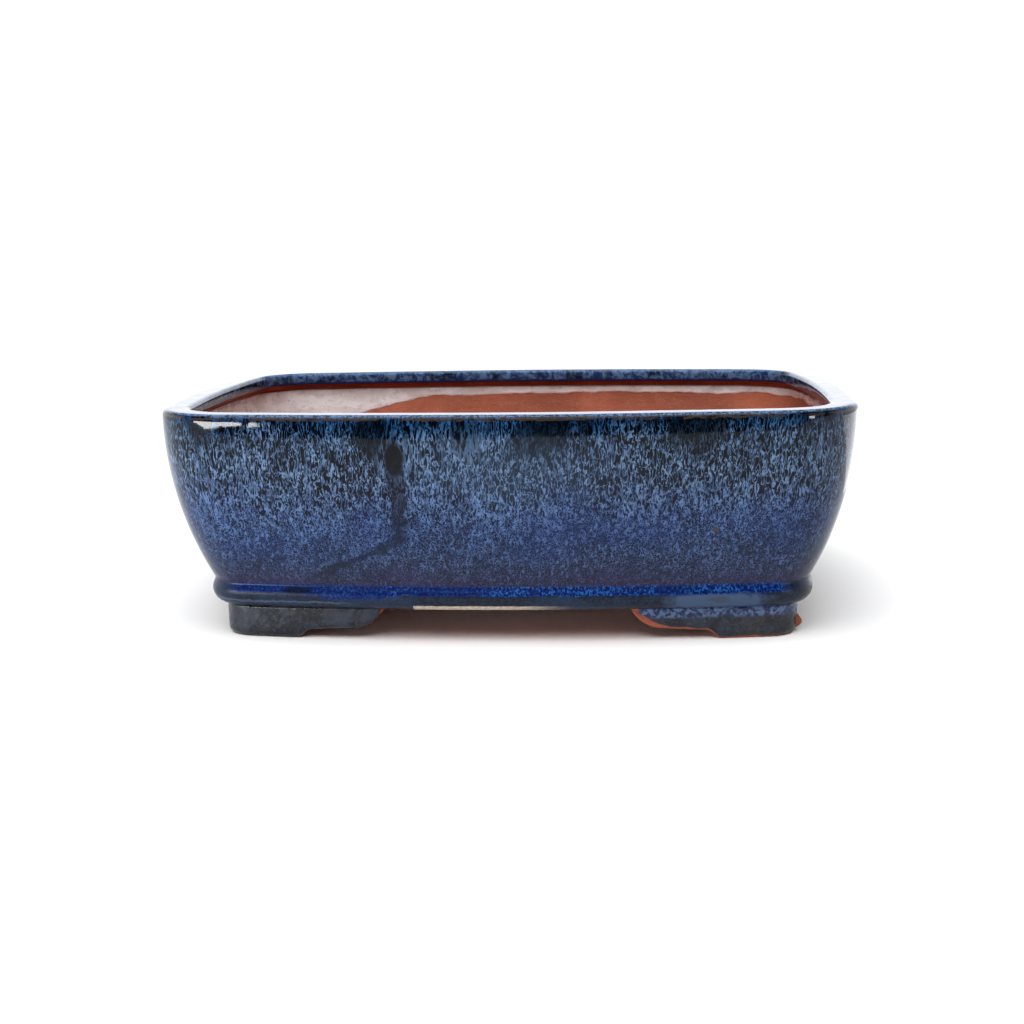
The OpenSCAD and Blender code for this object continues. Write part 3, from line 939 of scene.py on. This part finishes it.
def make_foot_glaze(name, node, side_x, side_y, seed, wiped):
    """A thin skin on a foot's outer face; wiped gives how far above the foot's lower edge it ends."""
    picked, lows = foot_stretch(side_x, side_y)
    tall = [i for i, low in enumerate(lows) if floor_low - low > skin_shortest + wiped(picked[i])]
    picks = [picked[i] for i in tall]
    lows = [lows[i] for i in tall]
    stations = fine_stations[picks]

    def section_at(k, place):
        ragged = 0.0004 * noise.noise(Vector((place[0] * 190, place[1] * 190, seed)))
        end = lows[k] + max(wiped(picks[k]) + ragged, 0.00015)
        full = glaze_depth * min(1.0, 0.25 + min(k, len(picks) - 1 - k) / 4)
        soft = rounded_by(lows[k])
        face, skin = [], []
        for t in heights(0, 1, 10):
            z = floor_low - (floor_low - end) * t
            curl = max(0.0, lows[k] + soft - z)
            back = foot_near + foot_hollow + soft - math.sqrt(max(soft**2 - curl**2, 0.0))
            thick = full * min(1.0, 0.25 + 1.6 * math.sqrt(max(0.0, 1 - t)))
            face.append((back, z))
            skin.append((back - thick - foot_hollow, z))
        return face + skin[::-1]

    piece = loft(name, stations, section_at, closed=False)
    return settle(piece, loose, {"Finish": foot_finish}, "blue_glaze", node)


def wiped_little(_):
    """Three feet are glazed almost to the ground."""
    return 0.0002


def wiped_wide(k):
    """The front right foot is wiped higher, most of all where its edge starts to rise."""
    x, y = fine_places[k]
    bare = 0.0009 + 0.0004 * noise.noise(Vector((x * 60, y * 60, 7)))
    return bare + 0.0026 * max(0.0, 1 - abs(abs(x) - 0.058) / 0.010)


make_foot_glaze("foot_front_left_glaze", "foot_glaze_front_left", -1, -1, 1.0, wiped_little)
make_foot_glaze("foot_front_right_glaze", "foot_glaze_front_right", 1, -1, 2.0, wiped_wide)
make_foot_glaze("foot_back_left_glaze", "foot_glaze_back_left", -1, 1, 3.0, wiped_little)
make_foot_glaze("foot_back_right_glaze", "foot_glaze_back_right", 1, 1, 4.0, wiped_little)

# ---------------------------------------------------------------------------------------------
# Studio. A white table that ends half a metre before the pot, so that the wall's upright top
# mirrors the dark room beyond it. Wide light from above, and two small soft boxes at the front.
# ---------------------------------------------------------------------------------------------
table_front, table_back, table_side = -0.50, 4, 3
table = new_piece("table", [(-table_side, table_front, 0), (table_side, table_front, 0),
                            (table_side, table_back, 0), (-table_side, table_back, 0)], [(0, 1, 2, 3)])
paper = Finish("white table")
faint = paper.cloud(3, 2, 0.5)
paper_white = paper.blend(faint, tone(243, 243, 243), tone(247, 247, 247))
paper.fire(paper_white, 0.85, None, Specular_IOR_Level=0.1)
table.data.materials.append(paper.material)


def soft_box(name, place, aim, size, power):
    lamp = bpy.data.lights.new(name, "AREA")
    lamp.shape, lamp.size, lamp.size_y, lamp.energy = "RECTANGLE", size[0], size[1], power
    box = bpy.data.objects.new(name, lamp)
    box.location = place
    box.rotation_euler = (Vector(aim) - Vector(place)).to_track_quat("-Z", "Y").to_euler()
    bpy.context.scene.collection.objects.link(box)
    return box


soft_box("front_left", (-0.84, -0.77, 0.015), (0, -0.1, 0.09), (0.7, 0.12), 13)
soft_box("front_right", (0.95, -0.72, 0.04), (0, -0.1, 0.06), (0.14, 0.14), 2)
# A light panel lying on the table pales the right end's outline.
panel = soft_box("right_floor", (0.56, 0.55, 0.001), (0.56, 0.55, 1.0), (0.6, 0.9), 3.4)
panel.visible_camera = False


def wide_light(name, heading, angle, energy):
    lamp = bpy.data.lights.new(name, "SUN")
    lamp.energy = energy
    lamp.angle = math.radians(angle)
    light = bpy.data.objects.new(name, lamp)
    light.rotation_euler = Vector(heading).to_track_quat("-Z", "Y").to_euler()
    bpy.context.scene.collection.objects.link(light)
    return light


wide_light("ceiling", (0.1, 0.5, -1.0), 62, 3.7)
wide_light("white_walls", (0, 0, -1), 108, 1.3).visible_glossy = False

# The room itself shows in the glaze only: white behind and low, dimmer above, dark in front.
world = bpy.data.worlds.new("studio")
bpy.context.scene.world = world
world.use_nodes = True
world.cycles_visibility.diffuse = False
room = world.node_tree
room.nodes.clear()
ray = linked(room, "ShaderNodeLightPath")
direction = linked(room, "ShaderNodeTexCoord").outputs["Generated"]
_, ahead_of, risen = linked(room, "ShaderNodeSeparateXYZ", {"Vector": direction}).outputs
behind = linked(room, "ShaderNodeMapRange", {"Value": ahead_of, "From Min": -0.25, "From Max": 0.1,
                                             "To Min": 0.02, "To Max": 1.0}).outputs[0]
low_wall = linked(room, "ShaderNodeMapRange", {"Value": risen, "From Min": 0.25, "From Max": 0.5,
                                               "To Min": 1.7, "To Max": 0.3}).outputs[0]
lit = linked(room, "ShaderNodeMath", {0: behind, 1: low_wall}, operation="MULTIPLY").outputs[0]
seen = linked(room, "ShaderNodeMath", {0: ray.outputs["Is Camera Ray"], 1: lit},
              operation="MAXIMUM").outputs[0]
glow = linked(room, "ShaderNodeBackground", {"Color": (1, 1, 1, 1), "Strength": seen})
linked(room, "ShaderNodeOutputWorld", {"Surface": glow.outputs[0]})
bpy.context.scene.view_settings.view_transform = "Standard"

# The camera looks slightly down at the long side, turned a few degrees to it.
turned = 0.05695
away, aside_by, eye_height = 0.68137, 0.00108, 0.16289
pitch, yaw, roll = 0.17929, -0.005, -0.0144
turn = Matrix.Rotation(turned, 3, "Z")
level_part = math.cos(pitch)
forward = turn @ Vector((math.sin(yaw) * level_part, math.cos(yaw) * level_part, -math.sin(pitch)))
right = turn @ Vector((math.cos(yaw), -math.sin(yaw), 0))
up = right.cross(forward)
right, up = right * math.cos(roll) + up * math.sin(roll), up * math.cos(roll) - right * math.sin(roll)
lens = bpy.data.cameras.new("camera")
lens.sensor_width = 36
lens.lens = 51.675
eye = bpy.data.objects.new("camera", lens)
eye.location = turn @ Vector((aside_by, -away, eye_height))
eye.rotation_euler = Matrix((right, up, -forward)).transposed().to_euler()
bpy.context.scene.collection.objects.link(eye)
bpy.context.scene.camera = eye
